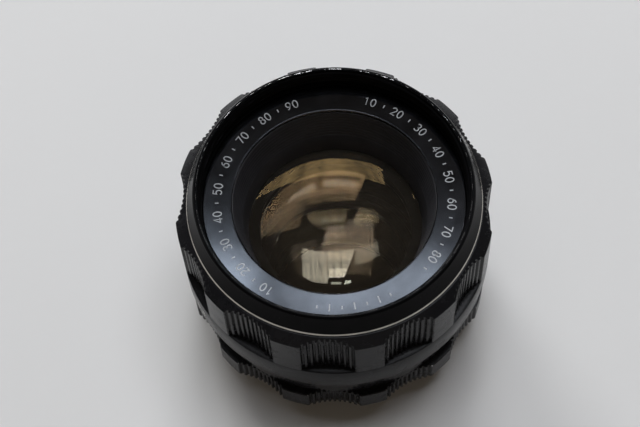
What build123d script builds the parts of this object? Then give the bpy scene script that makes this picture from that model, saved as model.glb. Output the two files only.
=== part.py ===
from build123d import *
import math
import os

# A manual-focus 55 mm f/1.8 camera lens with a 42 mm screw mount, in millimetres.
# It stands on the end of its screw thread: Z = 0 is the thread's end, +Z points out of the front glass,
# and the optical axis is the Z axis. It is drawn focused at infinity with the iris fully open.

os.makedirs("parts", exist_ok=True)

# ---------------------------------------------------------------- driving dimensions
run_fit = 0.05                # radial clearance of the turning and sliding fits

flange_z = 4.6                # seating face of the screw mount, above the thread's end
flange_top_z = 6.3
flange_r = 26.2
mount_thread_r = 21.0         # M42 x 1
mount_thread_pitch = 1.0
mount_bore_r = 19.0

length_from_flange = 38.0     # flange to front rim
rim_z = flange_z + length_from_flange

ring_lands = 12               # smooth lands between the ribbed hollows of both grip rings
land_step = 360 / ring_lands
hollow_half_angle = 9.9       # half the angular width of one ribbed hollow
ribs_per_hollow = 9
rib_pitch_angle = 2.0
rib_depth = 0.38

focus_r = 29.04               # focusing ring
focus_hollow_r = 27.6         # at the middle of a hollow
focus_land_azimuth = 8.71
focus_bottom_z = 19.6
focus_grip_z = 25.8           # below this the ring is a plain skirt
focus_bevel_z = 36.7
focus_top_z = 38.0
focus_top_r = 27.1
focus_bore_r = 26.15

aperture_r = 28.69            # aperture ring
aperture_hollow_r = 27.3
aperture_land_azimuth = 10.05
aperture_bottom_z = 6.45
aperture_grip_top_z = 12.0
aperture_top_z = 15.2

barrel_neck_r = 25.5          # the aperture ring turns on this
barrel_body_r = 26.2          # the depth-of-field ring sits on this
barrel_bore_r = 23.8
barrel_step_z = 12.2
barrel_top_z = 20.5
sleeve_bearing_r = 23.0
dof_bottom_z = 15.3
dof_top_z = 19.5

helicoid_r = 21.55            # inner helicoid, which carries the optics
helicoid_bore_r = 19.6
helicoid_bottom_z = 14.0
helicoid_top_z = 35.4
sleeve_foot_top_z = 26.2

filter_thread_r = 24.1        # minor radius of the 49 mm filter thread
filter_thread_root_r = 24.5
filter_thread_pitch = 0.75
name_ring_z = 38.0
name_ring_bore_r = 18.56
lip_z = 38.1
lip_r = 26.85

blade_count = 6
blade_swing = 30.0            # degrees each blade turns from open to closed
aperture_throw = 55.0         # degrees the aperture ring turns from f/1.8 to f/16
iris_open_r = 11.0
blade_inner_r = 11.1
blade_outer_r = 17.6
blade_pivot_r = 18.25
blade_pin_r = 18.1
blade_pin_azimuth = 10.0      # drive pin, measured from the blade's pivot
blade_tail_azimuth = 125.0
blade_thickness = 0.12
blade_layer = 0.17            # each blade lies in its own layer
blades_z = 13.08
iris_pin_size = 0.30          # radius of the blades' pivots and drive pins
iris_slot_r = iris_pin_size + 0.08

lever_azimuth = 65.0          # the aperture ring's lever with the ring at f/1.8
stop_pin_r = 17.0             # distance of the stop-down pin from the axis, on the -Y side
switch_azimuth = 120.0
switch_throw = 10.0


# ---------------------------------------------------------------- small helpers
def polar(radius, degrees):
    """Point at a radius and an azimuth."""
    angle = math.radians(degrees)
    return (radius * math.cos(angle), radius * math.sin(angle))


def sag(curvature_radius, height):
    """Depth of a spherical surface at a height above its axis, with the sign of its radius."""
    size = abs(curvature_radius)
    depth = size - math.sqrt(size * size - height * height)
    return math.copysign(depth, curvature_radius)


def hollow_radius(land_r, middle_r, azimuth):
    """Distance from the lens axis to a concave hollow, at an azimuth from the hollow's middle."""
    half_chord = land_r * math.sin(math.radians(hollow_half_angle))
    chord_x = land_r * math.cos(math.radians(hollow_half_angle))
    depth = chord_x - middle_r
    arc_r = (half_chord**2 + depth**2) / (2 * depth)
    centre = middle_r + arc_r
    angle = math.radians(azimuth)
    return centre * math.cos(angle) - math.sqrt(arc_r**2 - (centre * math.sin(angle)) ** 2)


def hollow_points(land_r, middle_r, azimuth):
    """Ribbed outline of one hollow, from land edge to land edge, about its middle azimuth."""
    points = [polar(land_r, azimuth - hollow_half_angle)]
    for groove in range(ribs_per_hollow + 1):
        middle = (groove - ribs_per_hollow / 2) * rib_pitch_angle
        for offset, sunk in ((-0.62, 0), (-0.3, rib_depth), (0.3, rib_depth), (0.62, 0)):
            radius = hollow_radius(land_r, middle_r, middle + offset) - sunk
            points.append(polar(radius, azimuth + middle + offset))
    points.append(polar(land_r, azimuth + hollow_half_angle))
    return points


# ================================================================ fixed mount and barrel
with BuildPart() as mount_flange:
    relief_z = flange_z - 0.7
    face_inner_r = mount_thread_r + 0.15
    recess_z = flange_z + 0.2
    with BuildSketch(Plane.XZ):
        Polygon(
            (mount_bore_r, 0),
            (mount_thread_r - 0.5, 0),
            (mount_thread_r, 0.5),
            (mount_thread_r, relief_z),
            (mount_thread_r - 0.7, relief_z + 0.2),
            (mount_thread_r - 0.7, recess_z),
            (face_inner_r, recess_z),
            (face_inner_r, flange_z),
            (flange_r - 0.3, flange_z),
            (flange_r, flange_z + 0.3),
            (flange_r, flange_top_z),
            (mount_bore_r, flange_top_z),
            align=None,
        )
        for turn in range(3):
            groove_z = 1.0 + turn * mount_thread_pitch
            Polygon(
                (mount_thread_r + 0.05, groove_z - 0.36),
                (mount_thread_r - 0.55, groove_z),
                (mount_thread_r + 0.05, groove_z + 0.36),
                align=None,
                mode=Mode.SUBTRACT,
            )
    revolve(axis=Axis.Z)
    mount_screw_circle_r = 24.65
    with Locations(Plane(origin=(0, 0, flange_z), z_dir=(0, 0, -1))):
        with PolarLocations(mount_screw_circle_r, 3, start_angle=30):
            CounterSinkHole(radius=0.62, counter_sink_radius=1.15, depth=flange_top_z - flange_z)
mount_flange.part.label = "mount_flange"
export_step(mount_flange.part, "parts/mount_flange.step")

with BuildPart() as mount_screws:
    with Locations((0, 0, flange_z + 0.05)):
        with PolarLocations(mount_screw_circle_r, 3, start_angle=30):
            Cone(1.05, 0.55, 0.5, align=(Align.CENTER, Align.CENTER, Align.MIN))
            Cylinder(0.55, 4.2, align=(Align.CENTER, Align.CENTER, Align.MIN))
            Box(1.6, 0.28, 0.22, align=(Align.CENTER, Align.CENTER, Align.MIN), mode=Mode.SUBTRACT)
mount_screws.part.label = "mount_screws"
export_step(mount_screws.part, "parts/mount_screws.step")

with BuildPart() as rear_baffle:
    baffle_z = 2.6
    with BuildSketch(Plane.XZ):
        Polygon(
            (13.4, baffle_z),
            (mount_bore_r - 0.05, baffle_z),
            (mount_bore_r - 0.05, flange_top_z - 0.02),
            (mount_bore_r - 0.6, flange_top_z - 0.02),
            (mount_bore_r - 0.6, baffle_z + 0.7),
            (13.4, baffle_z + 0.7),
            align=None,
        )
    revolve(axis=Axis.Z)
    with Locations((0, -stop_pin_r, baffle_z)):
        Cylinder(1.25, 3, mode=Mode.SUBTRACT)
rear_baffle.part.label = "rear_baffle"
export_step(rear_baffle.part, "parts/rear_baffle.step")

rear_plate_top_z = 7.6
key_screw_r = 18.3
with BuildPart() as rear_plate:
    with BuildSketch(Plane.XY.offset(flange_top_z)):
        Circle(barrel_bore_r - 0.05)
        Circle(15.6, mode=Mode.SUBTRACT)
        with Locations((0, -stop_pin_r)):
            Circle(1.0, mode=Mode.SUBTRACT)
        with PolarLocations(key_screw_r, 2):
            Circle(0.62, mode=Mode.SUBTRACT)
    extrude(amount=rear_plate_top_z - flange_top_z)
rear_plate.part.label = "rear_plate"
export_step(rear_plate.part, "parts/rear_plate.step")

click_azimuth = 220.0
click_z = 9.2
click_hole_r = 0.85
focus_stop_azimuth = 90.0
focus_stop_r = 25.0
with BuildPart() as main_barrel:
    with BuildSketch(Plane.XZ):
        Polygon(
            (barrel_bore_r, flange_top_z),
            (barrel_neck_r, flange_top_z),
            (barrel_neck_r, barrel_step_z),
            (barrel_body_r, barrel_step_z),
            (barrel_body_r, dof_top_z - 0.1),
            (barrel_body_r - 0.3, dof_top_z - 0.1),
            (barrel_body_r - 0.3, barrel_top_z),
            (sleeve_bearing_r, barrel_top_z),
            (sleeve_bearing_r, 16.0),
            (barrel_bore_r, 16.0),
            align=None,
        )
    revolve(axis=Axis.Z)
    # window for the aperture ring's lever
    lever_window_start = lever_azimuth - 5
    lever_window_size = aperture_throw + 10
    with BuildSketch(Plane.XY.offset(8.8)):
        with BuildLine():
            Polyline(
                polar(22, lever_window_start),
                polar(30, lever_window_start),
                polar(40, lever_window_start + lever_window_size / 2),
                polar(30, lever_window_start + lever_window_size),
                polar(22, lever_window_start + lever_window_size),
                polar(18, lever_window_start + lever_window_size / 2),
                close=True,
            )
        make_face()
    extrude(amount=1.4, mode=Mode.SUBTRACT)
    # threaded holes for the mount screws
    with BuildSketch(Plane.XY.offset(flange_top_z)):
        with PolarLocations(mount_screw_circle_r, 3, start_angle=30):
            Circle(0.6)
    extrude(amount=3.0, mode=Mode.SUBTRACT)
    # hole for the focusing stop pin
    with BuildSketch(Plane.XY.offset(barrel_top_z)):
        with Locations(polar(focus_stop_r, focus_stop_azimuth)):
            Circle(0.4)
    extrude(amount=-1.2, mode=Mode.SUBTRACT)
    # radial hole for the click ball, and one for its spring's screw
    click_axis = Vector(*polar(1, click_azimuth))
    with BuildSketch(Plane(origin=click_axis * 23 + Vector(0, 0, click_z), z_dir=click_axis)):
        Circle(click_hole_r)
    extrude(amount=4, mode=Mode.SUBTRACT)
    click_screw_azimuth = click_azimuth - 12
    click_screw_axis = Vector(*polar(1, click_screw_azimuth))
    with BuildSketch(Plane(origin=click_screw_axis * 23 + Vector(0, 0, click_z), z_dir=click_screw_axis)):
        Circle(0.52)
    extrude(amount=1.8, mode=Mode.SUBTRACT)
    # radial holes for the depth-of-field ring's set screws
    dof_screw_z = 17.4
    for azimuth in (45, 165, 285):
        screw_axis = Vector(*polar(1, azimuth))
        with BuildSketch(Plane(origin=screw_axis * 25 + Vector(0, 0, dof_screw_z), z_dir=screw_axis)):
            Circle(0.62)
        extrude(amount=3, mode=Mode.SUBTRACT)
main_barrel.part.label = "main_barrel"
export_step(main_barrel.part, "parts/main_barrel.step")

# straight-running keys that stop the inner helicoid from turning
key_width = 3.0
for number, azimuth in ((1, 0), (2, 180)):
    with BuildPart() as guide_key:
        with BuildSketch(Plane.XY.offset(rear_plate_top_z).rotated((0, 0, azimuth))):
            with Locations((19.9, 0)):
                Rectangle(5.0, 5.0)
            with Locations((key_screw_r, 0)):
                Circle(0.62, mode=Mode.SUBTRACT)
        extrude(amount=0.8)
        with BuildSketch(Plane.XY.offset(rear_plate_top_z + 0.8).rotated((0, 0, azimuth))):
            with Locations((20.55, 0)):
                Rectangle(1.5, key_width)
        extrude(amount=17.6)
    guide_key.part.label = f"guide_key_{number}"
    export_step(guide_key.part, f"parts/guide_key_{number}.step")

with BuildPart() as guide_key_screws:
    with Locations((0, 0, flange_top_z + 0.05)):
        with PolarLocations(key_screw_r, 2):
            Cylinder(0.55, 2.1, align=(Align.CENTER, Align.CENTER, Align.MIN))
    with Locations((0, 0, rear_plate_top_z + 0.82)):
        with PolarLocations(key_screw_r, 2):
            Cylinder(1.1, 0.6, align=(Align.CENTER, Align.CENTER, Align.MIN))
guide_key_screws.part.label = "guide_key_screws"
export_step(guide_key_screws.part, "parts/guide_key_screws.step")

with BuildPart() as focus_stop_pin:
    with BuildSketch(Plane.XY.offset(barrel_top_z - 1.1)):
        with Locations(polar(focus_stop_r, focus_stop_azimuth)):
            Circle(0.38)
    extrude(amount=2.0)
focus_stop_pin.part.label = "focus_stop_pin"
export_step(focus_stop_pin.part, "parts/focus_stop_pin.step")

with BuildPart() as dof_ring:
    with BuildSketch(Plane.XZ):
        Polygon(
            (barrel_body_r + 0.02, dof_bottom_z),
            (27.75, dof_bottom_z),
            (28.2, dof_top_z - 0.2),
            (28.0, dof_top_z),
            (barrel_body_r + 0.02, dof_top_z),
            align=None,
        )
    revolve(axis=Axis.Z)
    # window for the automatic/manual tab
    window_middle = switch_azimuth + switch_throw / 2
    with BuildSketch(Plane.XY.offset(16.6)):
        with BuildLine():
            Polyline(
                polar(25, window_middle - 8.6),
                polar(30, window_middle - 8.6),
                polar(30, window_middle + 8.6),
                polar(25, window_middle + 8.6),
                close=True,
            )
        make_face()
    extrude(amount=1.6, mode=Mode.SUBTRACT)
    for azimuth in (45, 165, 285):
        screw_axis = Vector(*polar(1, azimuth))
        with BuildSketch(Plane(origin=screw_axis * 25 + Vector(0, 0, dof_screw_z), z_dir=screw_axis)):
            Circle(0.62)
        extrude(amount=4, mode=Mode.SUBTRACT)
dof_ring.part.label = "dof_ring"
export_step(dof_ring.part, "parts/dof_ring.step")

with BuildPart() as dof_ring_screws:
    for azimuth in (45, 165, 285):
        screw_plane = Plane(
            origin=Vector(*polar(25.05, azimuth)) + Vector(0, 0, dof_screw_z),
            x_dir=(0, 0, 1),
            z_dir=Vector(*polar(1, azimuth)),
        )
        with BuildSketch(screw_plane):
            Circle(0.56)
        extrude(amount=2.6)
        with BuildSketch(screw_plane.offset(2.25)):
            Rectangle(2, 0.22)
        extrude(amount=1, mode=Mode.SUBTRACT)
dof_ring_screws.part.label = "dof_ring_screws"
export_step(dof_ring_screws.part, "parts/dof_ring_screws.step")

# click stop of the aperture ring: ball, leaf spring and its screw
with BuildPart() as click_ball:
    with Locations(click_axis * 24.68 + Vector(0, 0, click_z)):
        Sphere(0.8)
click_ball.part.label = "click_ball"
export_step(click_ball.part, "parts/click_ball.step")

with BuildPart() as click_spring:
    with BuildSketch(Plane.XY.offset(click_z - 0.8)):
        with BuildLine():
            CenterArc((0, 0), 23.5, click_azimuth - 16, 30)
            Line(polar(23.5, click_azimuth + 14), polar(23.75, click_azimuth + 14))
            CenterArc((0, 0), 23.75, click_azimuth + 14, -30)
            Line(polar(23.75, click_azimuth - 16), polar(23.5, click_azimuth - 16))
        make_face()
    extrude(amount=1.6)
    with BuildSketch(Plane(origin=click_screw_axis * 23 + Vector(0, 0, click_z), z_dir=click_screw_axis)):
        Circle(0.52)
    extrude(amount=1.8, mode=Mode.SUBTRACT)
click_spring.part.label = "click_spring"
export_step(click_spring.part, "parts/click_spring.step")

with BuildPart() as click_spring_screw:
    with BuildSketch(Plane(origin=click_screw_axis * 22.9 + Vector(0, 0, click_z), z_dir=click_screw_axis)):
        Circle(0.45)
    extrude(amount=1.85)
    with BuildSketch(Plane(origin=click_screw_axis * 22.95 + Vector(0, 0, click_z), z_dir=click_screw_axis)):
        Circle(0.8)
    extrude(amount=0.5)
click_spring_screw.part.label = "click_spring_screw"
export_step(click_spring_screw.part, "parts/click_spring_screw.step")

# ================================================================ automatic stop-down pin
collar_z = rear_plate_top_z + 0.05
collar_top_z = collar_z + 0.6
bracket_z = 10.7
with BuildPart() as stop_down_pin:
    with BuildSketch(Plane.XZ):
        Polygon(
            (0, 0.3), (0.6, 0.3), (0.95, 0.65), (0.95, collar_z), (1.5, collar_z),
            (1.5, collar_top_z), (0.55, collar_top_z), (0.55, 9.7), (0, 9.7),
            align=None,
        )
    revolve(axis=Axis.Z)
    pin_body = stop_down_pin.part
stop_down_pin.part = Pos(0, -stop_pin_r, 0) * pin_body
stop_down_pin.part.label = "stop_down_pin"
export_step(stop_down_pin.part, "parts/stop_down_pin.step")

with BuildPart() as stop_down_spring:
    with BuildLine():
        coil = Helix(pitch=0.6, height=1.8, radius=1.0, center=(0, -stop_pin_r, collar_top_z + 0.32))
    with BuildSketch(Plane(origin=coil @ 0, z_dir=coil % 0)):
        Circle(0.12)
    sweep(path=coil, is_frenet=True)
stop_down_spring.part.label = "stop_down_spring"
export_step(stop_down_spring.part, "parts/stop_down_spring.step")

with BuildPart() as pin_bracket:
    with Locations((0, -stop_pin_r, 0)):
        with Locations((-2.7, 0, rear_plate_top_z), (2.7, 0, rear_plate_top_z)):
            Box(0.6, 2.6, bracket_z + 0.35 - rear_plate_top_z, align=(Align.CENTER, Align.CENTER, Align.MIN))
        with Locations((0, 0, bracket_z)):
            Box(6.0, 2.6, 0.35, align=(Align.CENTER, Align.CENTER, Align.MIN))
            Cylinder(0.7, 2, mode=Mode.SUBTRACT)
pin_bracket.part.label = "pin_bracket"
export_step(pin_bracket.part, "parts/pin_bracket.step")

# ================================================================ focusing ring and helicoid sleeve
grip_azimuth = focus_land_azimuth - 90
focus_screw_azimuths = (104, 224, 344)
focus_screw_z = 23.4
with BuildPart() as focus_ring:
    with BuildSketch(Plane.XY.offset(focus_grip_z)):
        with BuildLine():
            for land in range(ring_lands):
                middle = grip_azimuth + land * land_step
                half_land = land_step / 2 - hollow_half_angle
                ThreePointArc(
                    polar(focus_r, middle - half_land),
                    polar(focus_r, middle),
                    polar(focus_r, middle + half_land),
                )
                Polyline(*hollow_points(focus_r, focus_hollow_r, middle + land_step / 2))
        make_face()
    extrude(amount=focus_top_z - focus_grip_z)
    # bevel round the top of the ring
    bevel_slope = (focus_top_z - focus_bevel_z) / (focus_r - focus_top_r)
    with BuildSketch(Plane.XZ):
        Polygon(
            (0, focus_grip_z - 1),
            (focus_r + 1, focus_grip_z - 1),
            (focus_r + 1, focus_bevel_z - bevel_slope),
            (focus_top_r, focus_top_z),
            (0, focus_top_z),
            align=None,
        )
    revolve(axis=Axis.Z, mode=Mode.INTERSECT)
    with BuildSketch(Plane.XZ):
        Polygon(
            (20, focus_bottom_z),
            (focus_r - 0.25, focus_bottom_z),
            (focus_r, focus_bottom_z + 0.25),
            (focus_r, focus_grip_z),
            (20, focus_grip_z),
            align=None,
        )
    revolve(axis=Axis.Z)
    with BuildSketch(Plane.XZ):
        Polygon(
            (0, focus_bottom_z - 1),
            (focus_bore_r, focus_bottom_z - 1),
            (focus_bore_r, focus_top_z - 0.6),
            (focus_bore_r + 0.3, focus_top_z + 0.1),
            (0, focus_top_z + 0.1),
            align=None,
        )
    revolve(axis=Axis.Z, mode=Mode.SUBTRACT)
    for azimuth in focus_screw_azimuths:
        screw_axis = Vector(*polar(1, azimuth))
        with BuildSketch(Plane(origin=screw_axis * 24 + Vector(0, 0, focus_screw_z), z_dir=screw_axis)):
            Circle(0.72)
        extrude(amount=8, mode=Mode.SUBTRACT)
focus_ring.part.label = "focus_ring"
export_step(focus_ring.part, "parts/focus_ring.step")

with BuildPart() as focus_ring_screws:
    for azimuth in focus_screw_azimuths:
        screw_plane = Plane(
            origin=Vector(*polar(24.6, azimuth)) + Vector(0, 0, focus_screw_z),
            x_dir=(0, 0, 1),
            z_dir=Vector(*polar(1, azimuth)),
        )
        with BuildSketch(screw_plane):
            Circle(0.66)
        extrude(amount=4.1)
        with BuildSketch(screw_plane.offset(3.7)):
            Rectangle(2, 0.25)
        extrude(amount=1, mode=Mode.SUBTRACT)
focus_ring_screws.part.label = "focus_ring_screws"
export_step(focus_ring_screws.part, "parts/focus_ring_screws.step")

sleeve_bore_r = helicoid_r + run_fit
sleeve_bottom_z = 13.2
with BuildPart() as focus_sleeve:
    with BuildSketch(Plane.XZ):
        Polygon(
            (sleeve_bore_r, sleeve_bottom_z),
            (sleeve_bearing_r - run_fit, sleeve_bottom_z),
            (sleeve_bearing_r - run_fit, barrel_top_z + 0.1),
            (focus_bore_r - 0.03, barrel_top_z + 0.1),
            (focus_bore_r - 0.03, sleeve_foot_top_z),
            (24.4, sleeve_foot_top_z),
            (24.4, 35.0),
            (sleeve_bore_r, 35.0),
            align=None,
        )
    revolve(axis=Axis.Z)
    # arc groove in the underside: the fixed stop pin runs in it and ends the focusing throw
    with BuildSketch(Plane.XY.offset(barrel_top_z)):
        with BuildLine():
            groove_path = CenterArc((0, 0), focus_stop_r, focus_stop_azimuth, 240)
        SlotArc(groove_path, height=0.95)
    extrude(amount=1.1, mode=Mode.SUBTRACT)
    for azimuth in focus_screw_azimuths:
        screw_axis = Vector(*polar(1, azimuth))
        with BuildSketch(Plane(origin=screw_axis * 24.5 + Vector(0, 0, focus_screw_z), z_dir=screw_axis)):
            Circle(0.72)
        extrude(amount=4, mode=Mode.SUBTRACT)
focus_sleeve.part.label = "focus_sleeve"
export_step(focus_sleeve.part, "parts/focus_sleeve.step")

with BuildPart() as sleeve_retaining_ring:
    with BuildSketch(Plane.XY.offset(13.6)):
        Circle(barrel_bore_r - 0.1)
        Circle(sleeve_bearing_r - run_fit + 0.01, mode=Mode.SUBTRACT)
        with PolarLocations(23.5, 4, start_angle=45):
            Rectangle(1.0, 1.2, mode=Mode.SUBTRACT)
    extrude(amount=2.3)
sleeve_retaining_ring.part.label = "sleeve_retaining_ring"
export_step(sleeve_retaining_ring.part, "parts/sleeve_retaining_ring.step")

# ================================================================ sliding optical block, front
with BuildPart() as inner_helicoid:
    with BuildSketch(Plane.XZ):
        Polygon(
            (helicoid_bore_r, helicoid_bottom_z),
            (helicoid_r, helicoid_bottom_z),
            (helicoid_r, helicoid_top_z),
            (helicoid_bore_r, helicoid_top_z),
            (helicoid_bore_r, 31.5),
            (18.75, 31.5),
            (18.75, 30.5),
            (helicoid_bore_r, 30.5),
            align=None,
        )
    revolve(axis=Axis.Z)
    with BuildSketch(Plane.XY.offset(helicoid_bottom_z)):
        with Locations((20.5, 0), (-20.5, 0)):
            Rectangle(4, key_width + 2 * run_fit)
    extrude(amount=13, mode=Mode.SUBTRACT)
    barrel_screw_r = 20.6
    with BuildSketch(Plane.XY.offset(helicoid_top_z)):
        with PolarLocations(barrel_screw_r, 3, start_angle=90):
            Circle(0.6)
    extrude(amount=-2.5, mode=Mode.SUBTRACT)
inner_helicoid.part.label = "inner_helicoid"
export_step(inner_helicoid.part, "parts/inner_helicoid.step")

web_z = 35.5
seat_z = 37.3
name_seat_r = filter_thread_r - 0.1
thread_end_z = 38.8           # the filter thread ends here in an undercut, clear of the name ring
with BuildPart() as front_barrel:
    with BuildSketch(Plane.XZ):
        Polygon(
            (25.2, 27.0),
            (26.0, 27.0),
            (26.0, lip_z),
            (lip_r - 0.1, lip_z),
            (lip_r, lip_z + 0.1),
            (lip_r, lip_z + 0.38),
            (lip_r - 0.12, lip_z + 0.48),
            (25.32, rim_z - 0.25),
            (25.16, rim_z - 0.06),
            (25.0, rim_z),
            (24.75, rim_z),
            (filter_thread_root_r, rim_z - 0.2),
            (filter_thread_root_r, rim_z - 0.45),
            (filter_thread_r, rim_z - 0.7),
            (filter_thread_r, thread_end_z),
            (filter_thread_root_r, thread_end_z - 0.2),
            (filter_thread_root_r, name_ring_z + 0.05),
            (name_seat_r, name_ring_z + 0.05),
            (name_seat_r, seat_z),
            (22.5, seat_z),
            (22.5, web_z + 1.4),
            (19.7, web_z + 1.4),
            (19.7, web_z),
            (25.2, web_z),
            align=None,
        )
        for turn in range(4):
            groove_z = rim_z - 1.25 - turn * filter_thread_pitch
            Polygon(
                (filter_thread_r - 0.05, groove_z - 0.27),
                (filter_thread_root_r, groove_z - 0.05),
                (filter_thread_root_r, groove_z + 0.05),
                (filter_thread_r - 0.05, groove_z + 0.27),
                align=None,
                mode=Mode.SUBTRACT,
            )
    revolve(axis=Axis.Z)
    with BuildSketch(Plane.XY.offset(web_z)):
        with PolarLocations(barrel_screw_r, 3, start_angle=90):
            Circle(0.6)
    extrude(amount=2, mode=Mode.SUBTRACT)
front_barrel.part.label = "front_barrel"
export_step(front_barrel.part, "parts/front_barrel.step")

with BuildPart() as front_barrel_screws:
    with BuildSketch(Plane.XY.offset(helicoid_top_z - 2.3)):
        with PolarLocations(barrel_screw_r, 3, start_angle=90):
            Circle(0.55)
    extrude(amount=3.9)
    with BuildSketch(Plane.XY.offset(web_z + 1.42)):
        with PolarLocations(barrel_screw_r, 3, start_angle=90):
            Circle(0.85)
    extrude(amount=0.38)
front_barrel_screws.part.label = "front_barrel_screws"
export_step(front_barrel_screws.part, "parts/front_barrel_screws.step")

with BuildPart() as name_ring:
    with BuildSketch(Plane.XZ):
        Polygon(
            (name_ring_bore_r, seat_z + 0.02),
            (filter_thread_r - 0.14, seat_z + 0.02),
            (filter_thread_r - 0.14, name_ring_z),
            (name_ring_bore_r + 0.12, name_ring_z),
            (name_ring_bore_r, name_ring_z - 0.12),
            align=None,
        )
    revolve(axis=Axis.Z)
name_ring.part.label = "name_ring"
export_step(name_ring.part, "parts/name_ring.step")

# grooved light-trapping cone that also holds the front element
cone_bottom_r = 16.15
cone_bottom_z = 27.45
cone_top_r = 18.45
cone_top_z = 37.25
cone_slope = (cone_top_r - cone_bottom_r) / (cone_top_z - cone_bottom_z)
cone_grooves = 8
with BuildPart() as front_cone:
    with BuildSketch(Plane.XZ):
        Polygon(
            (cone_bottom_r, cone_bottom_z),
            (17.15, 27.0),
            (17.9, 27.0),
            (17.9, 32.7),
            (18.55, 32.7),
            (18.55, 34.1),
            (19.5, 34.1),
            (19.5, cone_top_z),
            (cone_top_r, cone_top_z),
            align=None,
        )
        for groove in range(cone_grooves):
            groove_z = cone_top_z - 0.35 - groove * 0.72
            wall_r = cone_top_r + (groove_z - cone_top_z) * cone_slope
            Polygon(
                (wall_r - 0.2, groove_z + 0.05),
                (wall_r + 0.32, groove_z),
                (wall_r - 0.2, groove_z - 0.52),
                align=None,
                mode=Mode.SUBTRACT,
            )
    revolve(axis=Axis.Z)
front_cone.part.label = "front_cone"
export_step(front_cone.part, "parts/front_cone.step")

with BuildPart() as focus_shim:
    with BuildSketch(Plane.XY.offset(31.52)):
        Circle(19.5)
        Circle(18.9, mode=Mode.SUBTRACT)
    extrude(amount=0.1)
focus_shim.part.label = "focus_shim"
export_step(focus_shim.part, "parts/focus_shim.step")

with BuildPart() as cell_retaining_ring:
    with BuildSketch(Plane.XY.offset(32.7)):
        Circle(helicoid_bore_r - 0.05)
        Circle(18.65, mode=Mode.SUBTRACT)
        with PolarLocations(19.6, 2, start_angle=20):
            Rectangle(1.0, 1.6, mode=Mode.SUBTRACT)
    extrude(amount=1.35)
cell_retaining_ring.part.label = "cell_retaining_ring"
export_step(cell_retaining_ring.part, "parts/cell_retaining_ring.step")

cell_screw_r = 16.6
with BuildPart() as front_cell:
    with BuildSketch(Plane.XZ):
        Polygon(
            (iris_open_r, 14.2), (12.8, 14.2), (12.8, 15.4), (18.4, 15.4), (18.4, 16.3), (15.6, 16.3),
            (15.6, 19.6), (18.5, 21.4), (18.5, 31.65), (19.5, 31.65), (19.5, 32.65), (17.95, 32.65),
            (17.95, 26.95), (17.25, 26.95), (17.25, 22.1), (14.25, 22.1), (14.25, 19.3), (12.65, 19.3), (12.65, 14.5),
            (iris_open_r, 14.5),
            align=None,
        )
    revolve(axis=Axis.Z)
    with BuildSketch(Plane.XY.offset(15.4)):
        with PolarLocations(cell_screw_r, 3, start_angle=15):
            Circle(0.6)
    extrude(amount=0.9, mode=Mode.SUBTRACT)
front_cell.part.label = "front_cell"
export_step(front_cell.part, "parts/front_cell.step")

# ================================================================ lens elements
# each: front vertex height, front radius, thickness on the axis, rear radius, outside radius;
# a positive radius bulges towards the front
lens_surfaces = {
    "lens_1": (31.3, 35.0, 4.2, 93.0, 17.2),
    "lens_2": (26.9, 21.5, 4.4, 44.0, 14.2),
    "lens_5": (7.6, 80.0, 4.4, -22.0, 10.8),
    "lens_6": (3.0, 300.0, 2.3, -50.0, 11.6),
}
for name, (front_z, front_r, thickness, rear_r, edge_r) in lens_surfaces.items():
    rear_z = front_z - thickness
    with BuildPart() as lens:
        with BuildSketch(Plane.XZ):
            with BuildLine():
                front_edge = (edge_r, front_z - sag(front_r, edge_r))
                rear_edge = (edge_r, rear_z - sag(rear_r, edge_r))
                half_r = edge_r / 2
                ThreePointArc((0, front_z), (half_r, front_z - sag(front_r, half_r)), front_edge)
                Line(front_edge, rear_edge)
                ThreePointArc(rear_edge, (half_r, rear_z - sag(rear_r, half_r)), (0, rear_z))
                Line((0, rear_z), (0, front_z))
            make_face()
        revolve(axis=Axis.Z)
    lens.part.label = name
    export_step(lens.part, f"parts/{name}.step")

# the two elements that face the iris have deep hollows with a flat rim around them
with BuildPart() as lens_3:
    hollow_r = 11.3
    outer_r = 12.6
    with BuildSketch(Plane.XZ):
        with BuildLine():
            front_edge = (outer_r, 21.6 - sag(50, outer_r))
            hollow_edge = (hollow_r, 19.4 - sag(15.5, hollow_r))
            ThreePointArc((0, 21.6), (6, 21.6 - sag(50, 6)), front_edge)
            Polyline(front_edge, (outer_r, hollow_edge[1]), hollow_edge)
            ThreePointArc(hollow_edge, (6, 19.4 - sag(15.5, 6)), (0, 19.4))
            Line((0, 19.4), (0, 21.6))
        make_face()
    revolve(axis=Axis.Z)
lens_3.part.label = "lens_3"
export_step(lens_3.part, "parts/lens_3.step")

with BuildPart() as lens_4:
    hollow_r = 9.8
    outer_r = 10.8
    with BuildSketch(Plane.XZ):
        with BuildLine():
            hollow_edge = (hollow_r, 8.8 + sag(16.5, hollow_r))
            rear_edge = (outer_r, 7.6 - sag(80, outer_r))
            ThreePointArc((0, 8.8), (5, 8.8 + sag(16.5, 5)), hollow_edge)
            Polyline(hollow_edge, (outer_r, hollow_edge[1]), rear_edge)
            ThreePointArc(rear_edge, (5, 7.6 - sag(80, 5)), (0, 7.6))
            Line((0, 7.6), (0, 8.8))
        make_face()
    revolve(axis=Axis.Z)
lens_4.part.label = "lens_4"
export_step(lens_4.part, "parts/lens_4.step")

with BuildPart() as lens_spacer_1:
    with BuildSketch(Plane.XY.offset(22.15)):
        Circle(17.2)
        Circle(13.7, mode=Mode.SUBTRACT)
    extrude(amount=3.2)
lens_spacer_1.part.label = "lens_spacer_1"
export_step(lens_spacer_1.part, "parts/lens_spacer_1.step")

with BuildPart() as lens_spacer_2:
    with BuildSketch(Plane.XY.offset(19.32)):
        Circle(14.2)
        Circle(12.72, mode=Mode.SUBTRACT)
    extrude(amount=0.78)
lens_spacer_2.part.label = "lens_spacer_2"
export_step(lens_spacer_2.part, "parts/lens_spacer_2.step")

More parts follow.
